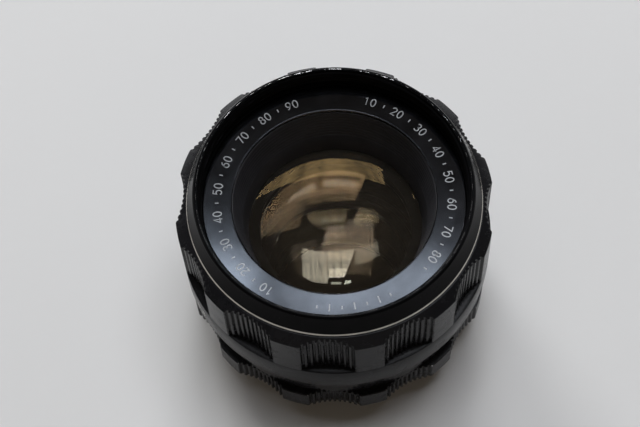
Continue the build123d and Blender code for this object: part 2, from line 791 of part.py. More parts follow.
# ================================================================ iris
rear_screw_r = 15.2
housing_bottom_z = 12.2
housing_floor_z = 13.0
actuator_z = 14.1
actuator_top_z = 14.65
cover_z = 14.75
cover_top_z = 15.35
notch_r = 18.72
notch_start = lever_azimuth - 9
notch_size = aperture_throw + 18
notch_corners = (
    polar(notch_r, notch_start),
    polar(30, notch_start),
    polar(36, notch_start + notch_size / 2),
    polar(30, notch_start + notch_size),
    polar(notch_r, notch_start + notch_size),
)

with BuildPart() as iris_housing:
    with BuildSketch(Plane.XY.offset(housing_bottom_z)):
        Circle(helicoid_bore_r - 0.05)
        Circle(iris_open_r, mode=Mode.SUBTRACT)
        with PolarLocations(blade_pivot_r, blade_count):
            Circle(iris_pin_size + 0.05, mode=Mode.SUBTRACT)
        with PolarLocations(rear_screw_r, 3, start_angle=90):
            Circle(0.6, mode=Mode.SUBTRACT)
    extrude(amount=housing_floor_z - housing_bottom_z)
    with BuildSketch(Plane.XY.offset(housing_floor_z)):
        Circle(helicoid_bore_r - 0.05)
        Circle(helicoid_bore_r - 0.4, mode=Mode.SUBTRACT)
    extrude(amount=cover_z - housing_floor_z)
    with BuildSketch(Plane.XY.offset(housing_bottom_z)):
        with BuildLine():
            CenterArc((0, 0), notch_r, notch_start, notch_size)
            Polyline(*notch_corners)
        make_face()
    extrude(amount=cover_z - housing_bottom_z, mode=Mode.SUBTRACT)
iris_housing.part.label = "iris_housing"
export_step(iris_housing.part, "parts/iris_housing.step")

with BuildPart() as iris_cover:
    with BuildSketch(Plane.XY.offset(cover_z)):
        Circle(helicoid_bore_r - 0.05)
        Circle(13.0, mode=Mode.SUBTRACT)
        with PolarLocations(cell_screw_r, 3, start_angle=15):
            Circle(0.6, mode=Mode.SUBTRACT)
        with BuildLine():
            CenterArc((0, 0), notch_r, notch_start, notch_size)
            Polyline(*notch_corners)
        make_face(mode=Mode.SUBTRACT)
    extrude(amount=cover_top_z - cover_z)
iris_cover.part.label = "iris_cover"
export_step(iris_cover.part, "parts/iris_cover.step")

with BuildPart() as front_cell_screws:
    with BuildSketch(Plane.XY.offset(cover_z + 0.05)):
        with PolarLocations(cell_screw_r, 3, start_angle=15):
            Circle(0.55)
    extrude(amount=1.6)
    with BuildSketch(Plane.XY.offset(16.32)):
        with PolarLocations(cell_screw_r, 3, start_angle=15):
            Circle(0.95)
    extrude(amount=0.7)
front_cell_screws.part.label = "front_cell_screws"
export_step(front_cell_screws.part, "parts/front_cell_screws.step")


def drive_pin_place(share, blade_azimuth):
    """Where a blade's drive pin stands in the turned actuator ring, at a share of the full travel."""
    arm_x, arm_y = polar(blade_pin_r, blade_pin_azimuth)
    arm_x -= blade_pivot_r
    turn = math.radians(blade_swing * share)
    pin_x = blade_pivot_r + arm_x * math.cos(turn) - arm_y * math.sin(turn)
    pin_y = arm_x * math.sin(turn) + arm_y * math.cos(turn)
    azimuth = math.degrees(math.atan2(pin_y, pin_x)) - aperture_throw * share
    return polar(math.hypot(pin_x, pin_y), azimuth + blade_azimuth)


with BuildPart() as iris_actuator:
    with BuildSketch(Plane.XY.offset(actuator_z)):
        Circle(19.1)
        # two fingers embrace the aperture lever
        with Locations(Location((0, 0, 0), (0, 0, lever_azimuth))):
            with Locations((19.05, 1.9), (19.05, -1.9)):
                Rectangle(0.7, 1.6)
        Circle(13.2, mode=Mode.SUBTRACT)
        with Locations(Location((0, 0, 0), (0, 0, lever_azimuth))):
            with Locations((19.2, 0)):
                Rectangle(0.96, 2.1, mode=Mode.SUBTRACT)
        for blade in range(blade_count):
            blade_azimuth = blade * 360 / blade_count
            with BuildLine():
                slot_path = Spline(*[drive_pin_place(step / 8, blade_azimuth) for step in range(9)])
            trace(slot_path, line_width=2 * iris_slot_r, mode=Mode.SUBTRACT)
            with Locations(slot_path @ 0, slot_path @ 1):
                Circle(iris_slot_r, mode=Mode.SUBTRACT)
    extrude(amount=actuator_top_z - actuator_z)
iris_actuator.part.label = "iris_actuator"
export_step(iris_actuator.part, "parts/iris_actuator.step")

for blade in range(blade_count):
    blade_z = blades_z + blade * blade_layer
    blade_plane = Plane.XY.offset(blade_z).rotated((0, 0, blade * 360 / blade_count))
    pin_place = polar(blade_pin_r, blade_pin_azimuth)
    with BuildPart() as iris_blade:
        with BuildSketch(blade_plane):
            with BuildLine():
                CenterArc((0, 0), blade_inner_r, -3, blade_tail_azimuth + 3)
                Line(polar(blade_inner_r, blade_tail_azimuth), polar(blade_outer_r, blade_tail_azimuth))
                CenterArc((0, 0), blade_outer_r, blade_tail_azimuth, -blade_tail_azimuth - 3)
                Line(polar(blade_outer_r, -3), polar(blade_inner_r, -3))
            make_face()
            with Locations((blade_pivot_r, 0), pin_place):
                Circle(0.72)
            with BuildLine():
                Polyline(
                    polar(17.4, 0), (blade_pivot_r + 0.6, 0), polar(blade_pin_r + 0.65, blade_pin_azimuth),
                    polar(17.4, blade_pin_azimuth), close=True,
                )
            make_face()
        extrude(amount=blade_thickness)
        with BuildSketch(blade_plane):
            with Locations((blade_pivot_r, 0)):
                Circle(iris_pin_size)
        extrude(amount=-(blade_z - housing_bottom_z - 0.1))
        with BuildSketch(blade_plane.offset(blade_thickness)):
            with Locations(pin_place):
                Circle(iris_pin_size)
        extrude(amount=actuator_top_z - blade_z - blade_thickness - 0.05)
    iris_blade.part.label = f"iris_blade_{blade + 1}"
    export_step(iris_blade.part, f"parts/iris_blade_{blade + 1}.step")

# ================================================================ sliding optical block, rear
with BuildPart() as rear_cell:
    with BuildSketch(Plane.XZ):
        Polygon(
            (11.65, 0.4), (12.8, 0.4), (13.0, 0.6), (13.0, 11.4), (17.0, 11.4), (17.0, 12.15),
            (10.85, 12.15), (10.85, 5.95), (10.3, 5.6), (10.3, 5.1), (10.6, 2.85), (11.65, 2.85),
            align=None,
        )
    revolve(axis=Axis.Z)
    with BuildSketch(Plane.XY.offset(11.4)):
        with PolarLocations(rear_screw_r, 3, start_angle=90):
            Circle(0.6)
    extrude(amount=1, mode=Mode.SUBTRACT)
rear_cell.part.label = "rear_cell"
export_step(rear_cell.part, "parts/rear_cell.step")

with BuildPart() as rear_cell_screws:
    with BuildSketch(Plane.XY.offset(11.35)):
        with PolarLocations(rear_screw_r, 3, start_angle=90):
            Circle(0.55)
    extrude(amount=1.5)
    with BuildSketch(Plane.XY.offset(11.38)):
        with PolarLocations(rear_screw_r, 3, start_angle=90):
            Circle(1.0)
    extrude(amount=-0.5)
rear_cell_screws.part.label = "rear_cell_screws"
export_step(rear_cell_screws.part, "parts/rear_cell_screws.step")

with BuildPart() as rear_group_ring:
    with BuildSketch(Plane.XY.offset(12.07)):
        Circle(10.8)
        Circle(9.95, mode=Mode.SUBTRACT)
    extrude(amount=0.7)
    with BuildSketch(Plane.XY.offset(12.77)):
        with PolarLocations(10.4, 2):
            Rectangle(1.2, 1.0)
    extrude(amount=-0.35, mode=Mode.SUBTRACT)
rear_group_ring.part.label = "rear_group_ring"
export_step(rear_group_ring.part, "parts/rear_group_ring.step")

with BuildPart() as rear_retaining_ring:
    with BuildSketch(Plane.XZ):
        Polygon(
            (10.9, 0.5), (11.6, 0.5), (11.6, 1.9), (10.6, 1.75), (10.6, 1.2),
            align=None,
        )
    revolve(axis=Axis.Z)
    with Locations((0, 0, 0.5)):
        with PolarLocations(11.2, 2, start_angle=35):
            Box(1.6, 1.0, 0.8, mode=Mode.SUBTRACT)
rear_retaining_ring.part.label = "rear_retaining_ring"
export_step(rear_retaining_ring.part, "parts/rear_retaining_ring.step")

# ================================================================ aperture ring and its lever
lever_z = 9.0
lever_thickness = 1.0
lever_width = 2.0
lever_pocket_r = 26.7
with BuildPart() as aperture_ring:
    ring_azimuth = aperture_land_azimuth - 90
    with BuildSketch(Plane.XY.offset(aperture_bottom_z)):
        with BuildLine():
            for land in range(ring_lands):
                middle = ring_azimuth + land * land_step
                half_land = land_step / 2 - hollow_half_angle
                ThreePointArc(
                    polar(aperture_r, middle - half_land),
                    polar(aperture_r, middle),
                    polar(aperture_r, middle + half_land),
                )
                Polyline(*hollow_points(aperture_r, aperture_hollow_r, middle + land_step / 2))
        make_face()
    extrude(amount=aperture_grip_top_z - aperture_bottom_z)
    with BuildSketch(Plane.XZ):
        Polygon(
            (0, aperture_bottom_z - 1),
            (aperture_r - 1.3, aperture_bottom_z - 1),
            (aperture_r + 0.7, aperture_bottom_z + 1),
            (aperture_r + 0.7, aperture_grip_top_z - 0.85),
            (aperture_r - 0.3, aperture_grip_top_z + 0.15),
            (0, aperture_grip_top_z + 0.15),
            align=None,
        )
    revolve(axis=Axis.Z, mode=Mode.INTERSECT)
    with BuildSketch(Plane.XZ):
        Polygon(
            (24, aperture_grip_top_z - 1),
            (27.25, aperture_grip_top_z - 1),
            (27.25, aperture_grip_top_z + 0.2),
            (27.55, aperture_top_z - 0.15),
            (27.4, aperture_top_z),
            (24, aperture_top_z),
            align=None,
        )
    revolve(axis=Axis.Z)
    with BuildSketch(Plane.XZ):
        Polygon(
            (0, aperture_bottom_z - 1),
            (barrel_neck_r + run_fit, aperture_bottom_z - 1),
            (barrel_neck_r + run_fit, barrel_step_z - 0.1),
            (barrel_body_r + 0.08, barrel_step_z - 0.1),
            (barrel_body_r + 0.08, aperture_top_z + 1),
            (0, aperture_top_z + 1),
            align=None,
        )
    revolve(axis=Axis.Z, mode=Mode.SUBTRACT)
    # pocket that holds the lever's outer end
    with BuildSketch(Plane.XY.offset(lever_z).rotated((0, 0, lever_azimuth))):
        with Locations((lever_pocket_r - 2, 0)):
            Rectangle(4, lever_width + 0.04)
    extrude(amount=lever_thickness + 0.02, mode=Mode.SUBTRACT)
    # click notches, one for each half stop
    with BuildSketch(Plane.XY.offset(click_z - 0.8)):
        for stop in range(11):
            with Locations(polar(barrel_neck_r + 0.15, click_azimuth - stop * aperture_throw / 10)):
                Circle(0.5)
    extrude(amount=1.6, mode=Mode.SUBTRACT)
aperture_ring.part.label = "aperture_ring"
export_step(aperture_ring.part, "parts/aperture_ring.step")

with BuildPart() as aperture_lever:
    bar_inner_r = 19.02
    bar_outer_r = 19.5
    with BuildSketch(Plane.XY.offset(lever_z + 0.01).rotated((0, 0, lever_azimuth))):
        with Locations(((bar_inner_r + lever_pocket_r) / 2 - 0.02, 0)):
            Rectangle(lever_pocket_r - bar_inner_r - 0.04, lever_width)
    extrude(amount=lever_thickness)
    with BuildSketch(Plane.XY.offset(lever_z + lever_thickness).rotated((0, 0, lever_azimuth))):
        with Locations(((bar_inner_r + bar_outer_r) / 2, 0)):
            Rectangle(bar_outer_r - bar_inner_r, lever_width)
    extrude(amount=14.6)
aperture_lever.part.label = "aperture_lever"
export_step(aperture_lever.part, "parts/aperture_lever.step")

# ================================================================ automatic/manual tab
with BuildPart() as mode_switch:
    switch_plane = Plane(
        origin=Vector(*polar(barrel_body_r + 0.08, switch_azimuth)) + Vector(0, 0, 17.4),
        x_dir=Vector(*polar(1, switch_azimuth + 90)),
        z_dir=Vector(*polar(1, switch_azimuth)),
    )
    with BuildSketch(switch_plane):
        Rectangle(2.6, 1.5)
    extrude(amount=2.3)
    with BuildSketch(switch_plane.offset(2.15)):
        RectangleRounded(5.0, 3.2, 0.7)
    extrude(amount=0.55)
    with BuildSketch(switch_plane.offset(2.5)):
        with GridLocations(0.7, 0, 6, 1):
            Rectangle(0.25, 4, mode=Mode.ADD)
    extrude(amount=0.4, mode=Mode.SUBTRACT)
mode_switch.part.label = "mode_switch"
export_step(mode_switch.part, "parts/mode_switch.step")
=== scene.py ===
import math

import bpy
from mathutils import Matrix, Vector


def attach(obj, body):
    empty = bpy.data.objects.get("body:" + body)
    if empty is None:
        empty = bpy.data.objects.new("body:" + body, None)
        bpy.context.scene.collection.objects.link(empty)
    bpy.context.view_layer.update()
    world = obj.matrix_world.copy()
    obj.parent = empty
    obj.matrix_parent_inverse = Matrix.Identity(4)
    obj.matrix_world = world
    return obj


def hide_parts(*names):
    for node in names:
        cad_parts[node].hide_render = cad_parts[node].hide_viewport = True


# A manual-focus prime lens standing on its screw mount, on a pale table by a window.
# Shapes are written in millimetres and turned to metres in mesh_piece().

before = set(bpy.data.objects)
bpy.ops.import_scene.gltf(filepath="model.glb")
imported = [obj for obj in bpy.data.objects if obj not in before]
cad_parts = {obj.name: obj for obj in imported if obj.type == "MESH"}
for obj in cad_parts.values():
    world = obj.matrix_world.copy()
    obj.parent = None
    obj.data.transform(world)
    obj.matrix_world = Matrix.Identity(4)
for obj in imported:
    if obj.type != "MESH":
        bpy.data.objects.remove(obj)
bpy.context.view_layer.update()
scene = bpy.context.scene

MM = 0.001
RIM_Z = 42.6
PANE_FOOT_Z = 0.04  # metres above the table, where the slopes of the window panes start


def polar(radius, degrees, z=0.0):
    """Point at a radius, azimuth and height, in millimetres."""
    angle = math.radians(degrees)
    return (radius * math.cos(angle), radius * math.sin(angle), z)


# ---------------------------------------------------------------- node helpers
class Nodes:
    """A material's node tree with short calls for the nodes used here."""

    def __init__(self, name):
        self.material = bpy.data.materials.new(name)
        self.material.use_nodes = True
        self.tree = self.material.node_tree
        self.shader = self.tree.nodes["Principled BSDF"]
        self.coord = self.tree.nodes.new("ShaderNodeTexCoord").outputs["Object"]

    def put(self, socket, value):
        """Set an input of the shader, or link a socket to it."""
        self.feed(self.shader.inputs[socket], value)

    def feed(self, socket, value):
        if isinstance(value, bpy.types.NodeSocket):
            self.tree.links.new(value, socket)
        else:
            socket.default_value = value

    def math(self, kind, a, b=0.0, clamp=False):
        node = self.tree.nodes.new("ShaderNodeMath")
        node.operation = kind
        node.use_clamp = clamp
        self.feed(node.inputs[0], a)
        self.feed(node.inputs[1], b)
        return node.outputs[0]

    def noise(self, scale, detail=3.0, roughness=0.55, vector=None, stretch=None):
        """Noise of about 1/scale metres, from 0 to 1."""
        node = self.tree.nodes.new("ShaderNodeTexNoise")
        node.inputs["Scale"].default_value = scale
        node.inputs["Detail"].default_value = detail
        node.inputs["Roughness"].default_value = roughness
        source = vector or self.coord
        if stretch:
            mapping = self.tree.nodes.new("ShaderNodeMapping")
            mapping.inputs["Scale"].default_value = stretch
            self.feed(mapping.inputs["Vector"], source)
            source = mapping.outputs[0]
        self.feed(node.inputs["Vector"], source)
        return node.outputs["Fac"]

    def turned(self, scale, detail=4.0):
        """Noise that only changes with distance from the axis and with height, as lathe marks do."""
        split = self.tree.nodes.new("ShaderNodeSeparateXYZ")
        self.feed(split.inputs[0], self.coord)
        square = self.math("ADD", self.math("MULTIPLY", split.outputs[0], split.outputs[0]),
                           self.math("MULTIPLY", split.outputs[1], split.outputs[1]))
        place = self.math("ADD", self.math("SQRT", square), self.math("MULTIPLY", split.outputs[2], 1.37))
        node = self.tree.nodes.new("ShaderNodeTexNoise")
        node.noise_dimensions = "1D"
        node.inputs["Scale"].default_value = scale
        node.inputs["Detail"].default_value = detail
        self.feed(node.inputs["W"], place)
        return node.outputs["Fac"]

    def range(self, value, low, high, to_low=0.0, to_high=1.0):
        node = self.tree.nodes.new("ShaderNodeMapRange")
        node.clamp = True
        self.feed(node.inputs["Value"], value)
        limits = (("From Min", low), ("From Max", high), ("To Min", to_low), ("To Max", to_high))
        for socket, number in limits:
            node.inputs[socket].default_value = number
        return node.outputs["Result"]

    def mix(self, share, a, b):
        """Colour a to colour b by a share."""
        node = self.tree.nodes.new("ShaderNodeMix")
        node.data_type = "RGBA"
        self.feed(node.inputs["Factor"], share)
        self.feed(node.inputs[6], a)
        self.feed(node.inputs[7], b)
        return node.outputs[2]

    def attribute(self, name):
        node = self.tree.nodes.new("ShaderNodeAttribute")
        node.attribute_name = name
        return node.outputs["Fac"]

    def bump(self, height, distance, strength=1.0, normal=None):
        node = self.tree.nodes.new("ShaderNodeBump")
        node.inputs["Strength"].default_value = strength
        node.inputs["Distance"].default_value = distance
        self.feed(node.inputs["Height"], height)
        if normal:
            self.feed(node.inputs["Normal"], normal)
        return node.outputs["Normal"]


def grey(value, warm=0.0, blue=0.0):
    return (value * (1 + warm), value, value * (1 - warm + blue), 1.0)


def black_finish(name, tone, roughness, sheen=0.5, grain=6e-6, worn=0.5, dust=0.5, blue=0.12,
                 metallic=0.0, vary=1.0):
    """Black finish on metal: uneven satin, lathe marks, specks of dust, and the 'wear' attribute on edges."""
    n = Nodes(name)
    cloud = n.noise(260, 4)
    fine = n.noise(5200, 3)
    specks = n.noise(2600, 2, 0.6)
    n.put("Specular IOR Level", sheen)
    dark = n.mix(n.range(cloud, 0.3, 0.7), grey(tone * 0.82, blue=blue), grey(tone * 1.2, blue=blue))
    dusty = n.math("MULTIPLY", n.range(specks, 0.72, 0.80), 0.16 * dust)
    dark = n.mix(dusty, dark, grey(0.42, 0.03))
    scrape = n.math("MULTIPLY", n.noise(900, 4, 0.65), 1.6)
    wear = n.math("SUBTRACT", n.math("ADD", n.attribute("wear"), scrape), 1.95 - 0.35 * worn)
    wear = n.range(wear, 0.0, 0.12)
    n.put("Base Color", n.mix(wear, dark, grey(0.42, 0.02)))
    n.put("Metallic", n.math("MAXIMUM", n.math("MULTIPLY", wear, 0.85), metallic))
    patches = n.range(cloud, 0.25, 0.75, roughness - 0.05 * vary, roughness + 0.06 * vary)
    n.put("Roughness", n.math("ADD", patches, n.range(fine, 0.2, 0.8, -0.03 * vary, 0.03 * vary)))
    marks = n.bump(n.turned(9000), min(grain, 1.5e-6), 0.6)
    n.put("Normal", n.bump(fine, grain, 0.7, marks))
    return n.material


def metal_finish(name, colour, roughness, marks=3e-6, stain=0.12, metallic=1.0):
    """Bare turned metal with lathe marks and uneven tarnish."""
    n = Nodes(name)
    cloud = n.noise(340, 4)
    lathe = n.turned(14000)
    darker = tuple(c * (1 - 2.4 * stain) for c in colour) + (1.0,)
    n.put("Base Color", n.mix(n.range(cloud, 0.35, 0.75), tuple(colour) + (1.0,), darker))
    n.put("Metallic", metallic)
    n.put("Roughness", n.math("ADD", n.range(cloud, 0.2, 0.8, roughness - 0.06, roughness + 0.08),
                              n.range(lathe, 0.3, 0.7, -0.05, 0.05)))
    n.put("Normal", n.bump(n.noise(4200, 3), 1.2e-6, 0.5, n.bump(lathe, marks, 0.8)))
    return n.material


def glass_finish(name, tint, body=(1.0, 1.0, 1.0), ior=1.62, smear=0.012, haze=0.0):
    """Coated glass: clear body, coloured reflection, faint smears, and a thin haze of dust."""
    n = Nodes(name)
    clean = tuple(body) + (1.0,)
    if haze:
        streaks = n.noise(420, 4, 0.6, stretch=(0.35, 1.6, 1.0))
        dusty = tuple(c * 0.72 for c in body) + (1.0,)
        n.put("Base Color", n.mix(n.range(streaks, 0.35, 0.75), clean, dusty))
    else:
        n.put("Base Color", clean)
    n.put("Transmission Weight", 1.0 - haze)
    n.put("IOR", ior)
    n.put("Specular Tint", tuple(tint) + (1.0,))
    n.put("Roughness", n.range(n.noise(90, 3), 0.45, 0.8, 0.0, smear))
    return n.material


satin_black = black_finish("satin_black", 0.0115, 0.25, sheen=0.12)
ring_black = black_finish("aperture_ring_black", 0.013, 0.26, sheen=0.16, worn=0.85)
rim_black = black_finish("rim_black", 0.004, 0.13, sheen=0.05, worn=0.4)
plate_black = black_finish("name_plate_black", 0.066, 0.105, grain=1e-7, worn=0.3, metallic=1.0, vary=0.15)
cell_black = black_finish("cell_black", 0.003, 0.7, sheen=0.1, worn=0.0, dust=0.2)
matte_black = black_finish("matte_black", 0.011, 0.62, sheen=0.35, worn=0.0, dust=0.7)
cone_black = black_finish("cone_black", 0.032, 0.45, sheen=0.45, worn=0.0, dust=0.4)
mount_black = black_finish("mount_black", 0.022, 0.42, worn=0.8)
alloy = metal_finish("bare_alloy", (0.62, 0.61, 0.58), 0.30)
edge_alloy = metal_finish("bare_edge", (0.52, 0.49, 0.44), 0.2, marks=1e-6)
steel = metal_finish("turned_steel", (0.56, 0.56, 0.55), 0.28)
brass = metal_finish("greased_brass", (0.62, 0.46, 0.21), 0.33, stain=0.2)
bronze = metal_finish("spring_bronze", (0.55, 0.36, 0.2), 0.3, stain=0.2)
blued = metal_finish("blued_blade", (0.05, 0.052, 0.06), 0.38, marks=8e-7)
paint_white = metal_finish("white_paint", (0.78, 0.78, 0.74), 0.5, metallic=0.0)
plate_paint = metal_finish("aged_white_paint", (0.44, 0.45, 0.46), 0.24, metallic=0.0)
paint_orange = metal_finish("orange_paint", (0.62, 0.20, 0.03), 0.45, metallic=0.0)
# each element has a front and a rear coating; the outward-bulging front ones reflect least
dusty_coat = glass_finish("front_coating_dusty", (0.16, 0.12, 0.08), body=(1.0, 0.90, 0.72), haze=0.016)
front_coat = glass_finish("front_coating", (0.16, 0.12, 0.08))
inner_amber = glass_finish("inner_amber_coating", (0.13, 0.087, 0.046))
amber_coat = glass_finish("amber_coating", (0.42, 0.27, 0.13))
pale_coat = glass_finish("pale_coating", (1.0, 0.94, 0.80))
purple_coat = glass_finish("purple_coating", (0.85, 0.62, 0.95))


# ---------------------------------------------------------------- mesh helpers
def mesh_piece(name, verts, faces, body, slot, materials, face_materials=None, wear=None, sharp=32):
    """Mesh from points in millimetres, riding on a body."""
    mesh = bpy.data.meshes.new(name)
    mesh.from_pydata([(x * MM, y * MM, z * MM) for x, y, z in verts], [], faces)
    mesh.polygons.foreach_set("use_smooth", [True] * len(mesh.polygons))
    for material in materials:
        mesh.materials.append(material)
    if face_materials:
        mesh.polygons.foreach_set("material_index", face_materials)
    values = mesh.attributes.new("wear", "FLOAT", "POINT")
    if wear:
        values.data.foreach_set("value", wear)
    mesh.set_sharp_from_angle(angle=math.radians(sharp))
    mesh.update()
    piece = bpy.data.objects.new(name, mesh)
    scene.collection.objects.link(piece)
    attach(piece, body)
    return piece


def rounded(corners, steps=3):
    """Closed section with rounded corners, from (r, z, fillet radius, wear, material) for each corner."""
    section = []
    for index, (r, z, fillet, wear, material) in enumerate(corners):
        corner = Vector((r, z))
        back = Vector(corners[index - 1][:2]) - corner
        ahead = Vector(corners[(index + 1) % len(corners)][:2]) - corner
        if fillet == 0:
            section.append((r, z, wear, material))
            continue
        cut = fillet / math.tan(back.angle(ahead) / 2)
        start = corner + back.normalized() * cut
        end = corner + ahead.normalized() * cut
        if wear and back.length > 3 * cut + 0.2:
            point = start + back.normalized() * 0.16
            section.append((point.x, point.y, 0.0, material))
        for step in range(steps + 1):
            t = step / steps
            point = start * (1 - t) ** 2 + corner * 2 * t * (1 - t) + end * t * t
            section.append((point.x, point.y, wear, material))
        if wear and ahead.length > 3 * cut + 0.2:
            point = end + ahead.normalized() * 0.16
            section.append((point.x, point.y, 0.0, material))
    return section


def columns_piece(name, columns, body, slot, materials, sharp=32):
    """Closed ring from one section for each azimuth: columns is a list of (azimuth, section)."""
    rows = len(columns[0][1])
    verts, wear, faces, face_materials = [], [], [], []
    for azimuth, section in columns:
        for r, z, worn, _ in section:
            verts.append(polar(r, azimuth, z))
            wear.append(worn)
    for column in range(len(columns)):
        here, there = column * rows, (column + 1) % len(columns) * rows
        for row in range(rows):
            after = (row + 1) % rows
            faces.append((here + row, there + row, there + after, here + after))
            face_materials.append(columns[column][1][row][3])
    return mesh_piece(name, verts, faces, body, slot, materials, face_materials, wear, sharp)


def lathe(name, section, body, slot, materials, segments=360, sharp=32):
    """Closed ring with the same section all the way round."""
    columns = [(360 * k / segments, section) for k in range(segments)]
    return columns_piece(name, columns, body, slot, materials, sharp)


def disc(name, outline, body, slot, materials, front_rows, segments=256, sharp=32):
    """Solid of revolution from an outline with both ends on the axis; its first rows take material 0."""
    inner = outline[1:-1]
    face_materials = []
    verts = [(0, 0, outline[0][1]), (0, 0, outline[-1][1])]
    faces = []
    for k in range(segments):
        verts += [polar(r, 360 * k / segments, z) for r, z in inner]
    count = len(inner)
    for k in range(segments):
        here, there = 2 + k * count, 2 + (k + 1) % segments * count
        faces.append((0, here, there))
        for row in range(count - 1):
            faces.append((here + row, here + row + 1, there + row + 1, there + row))
        faces.append((here + count - 1, 1, there + count - 1))
        face_materials += [0 if row <= front_rows else 1 for row in range(count + 1)]
    return mesh_piece(name, verts, faces, body, slot, materials, face_materials, sharp=sharp)


# ---------------------------------------------------------------- grip rings
LAND_COUNT = 12
HALF_HOLLOW = 9.9
RIB_PITCH = 2.0
RIB_DEPTH = 0.38
# one groove between ribs: offset from its middle in degrees, share of the full depth
GROOVE = ((-0.70, 0.0), (-0.62, 0.05), (-0.55, 0.18), (-0.34, 0.93), (-0.26, 1.0),
          (0.26, 1.0), (0.34, 0.93), (0.55, 0.18), (0.62, 0.05), (0.70, 0.0))


def hollow_radius(land_r, middle_r, azimuth):
    """Distance from the axis to a concave hollow, at an azimuth from its middle."""
    half_chord = land_r * math.sin(math.radians(HALF_HOLLOW))
    depth = land_r * math.cos(math.radians(HALF_HOLLOW)) - middle_r
    arc_r = (half_chord**2 + depth**2) / (2 * depth)
    centre = middle_r + arc_r
    angle = math.radians(azimuth)
    return centre * math.cos(angle) - math.sqrt(arc_r**2 - (centre * math.sin(angle)) ** 2)


def grip_azimuths(land_r, middle_r, land_azimuth):
    """(azimuth, radius, wear) round a grip ring: smooth lands with ribbed hollows between them."""
    found = []
    half_land = 180 / LAND_COUNT - HALF_HOLLOW
    for land in range(LAND_COUNT):
        middle = land_azimuth + land * 360 / LAND_COUNT
        for k in range(-6, 7):
            share = k / 6
            found.append((middle + share * (half_land - 0.12), land_r, 1.0 if abs(k) == 6 else 0.0))
        found.append((middle + half_land, land_r - 0.07, 0.9))
        hollow = middle + 180 / LAND_COUNT
        for groove in range(10):
            for offset, share in GROOVE:
                azimuth = (groove - 4.5) * RIB_PITCH + offset
                radius = hollow_radius(land_r, middle_r, azimuth) - RIB_DEPTH * share
                found.append((hollow + azimuth, radius, 0.35 if share == 0 else 0.0))
        found.append((middle + 360 / LAND_COUNT - half_land, land_r - 0.07, 0.9))
    return found


# focusing ring: a skirt below, ribbed grip above, a bevel up to the front face
FOCUS_R = 29.04
FOCUS_BORE = 26.15
FOCUS_LOW = 19.6
SKIRT_TOP = 25.8
BEVEL_LOW = 36.7
FOCUS_TOP = 38.0
BEVEL_TOP_R = 27.1
BEVEL_SLOPE = (FOCUS_TOP - BEVEL_LOW) / (FOCUS_R - BEVEL_TOP_R)


def focus_section(radius, worn):
    bevel_z = BEVEL_LOW + (FOCUS_R - radius) * BEVEL_SLOPE
    edge = 0.10
    on_bevel = (radius - edge, bevel_z + edge * BEVEL_SLOPE)
    return [
        (FOCUS_BORE, FOCUS_LOW + 0.15, 0, 0), (FOCUS_BORE + 0.15, FOCUS_LOW, 0, 0),
        (FOCUS_R - 0.22, FOCUS_LOW, 0, 0), (FOCUS_R - 0.14, FOCUS_LOW + 0.01, 0.3, 0),
        (FOCUS_R - 0.02, FOCUS_LOW + 0.12, 0.3, 0), (FOCUS_R, FOCUS_LOW + 0.22, 0, 0),
        (FOCUS_R, FOCUS_LOW + 3.1, 0, 0), (FOCUS_R, SKIRT_TOP - 0.18, 0, 0),
        (FOCUS_R - 0.04, SKIRT_TOP - 0.04, 0.55, 0), (FOCUS_R - 0.11, SKIRT_TOP, 0.3, 0),
        (min(radius, FOCUS_R - 0.14), SKIRT_TOP, 0, 0), (radius, SKIRT_TOP + 0.05, 0, 0),
        (radius, SKIRT_TOP + 5.2, 0.45 * worn, 0), (radius, bevel_z - 0.25, 0.6 * worn, 0),
        (radius, bevel_z - edge, 0.9 * worn, 0), (radius - edge * 0.35, bevel_z - edge * 0.2, worn, 0),
        (*on_bevel, 0.4 * worn, 0), (BEVEL_TOP_R + 0.05, FOCUS_TOP - 0.07, 0, 0),
        (BEVEL_TOP_R - 0.02, FOCUS_TOP - 0.015, 0.2, 0), (BEVEL_TOP_R - 0.1, FOCUS_TOP, 0.1, 0),
        (FOCUS_BORE + 0.35, FOCUS_TOP, 0, 0), (FOCUS_BORE + 0.05, FOCUS_TOP - 0.25, 0, 0),
        (FOCUS_BORE, FOCUS_TOP - 0.5, 0, 0), (FOCUS_BORE, 30.0, 0, 0),
    ]


FOCUS_HOLLOW_R = 27.6
FOCUS_LAND_AZIMUTH = 8.71 - 90  # the lands start from one beside the near side
focus_columns = [(azimuth, focus_section(radius, worn))
                 for azimuth, radius, worn in grip_azimuths(FOCUS_R, FOCUS_HOLLOW_R, FOCUS_LAND_AZIMUTH)]
focus_grip = columns_piece("focus_grip_ring", focus_columns, "focus", "black_satin", [satin_black])
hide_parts("focus_ring")

# aperture ring: ribbed grip below, tapered number band above
APERTURE_R = 28.69
APERTURE_THROW = 55.0
APERTURE_LOW = 6.45
GRIP_TOP = 12.0
BAND_TOP = 15.2
BAND_R = 27.25
FOOT_BORE = 25.55
BAND_BORE = 26.28


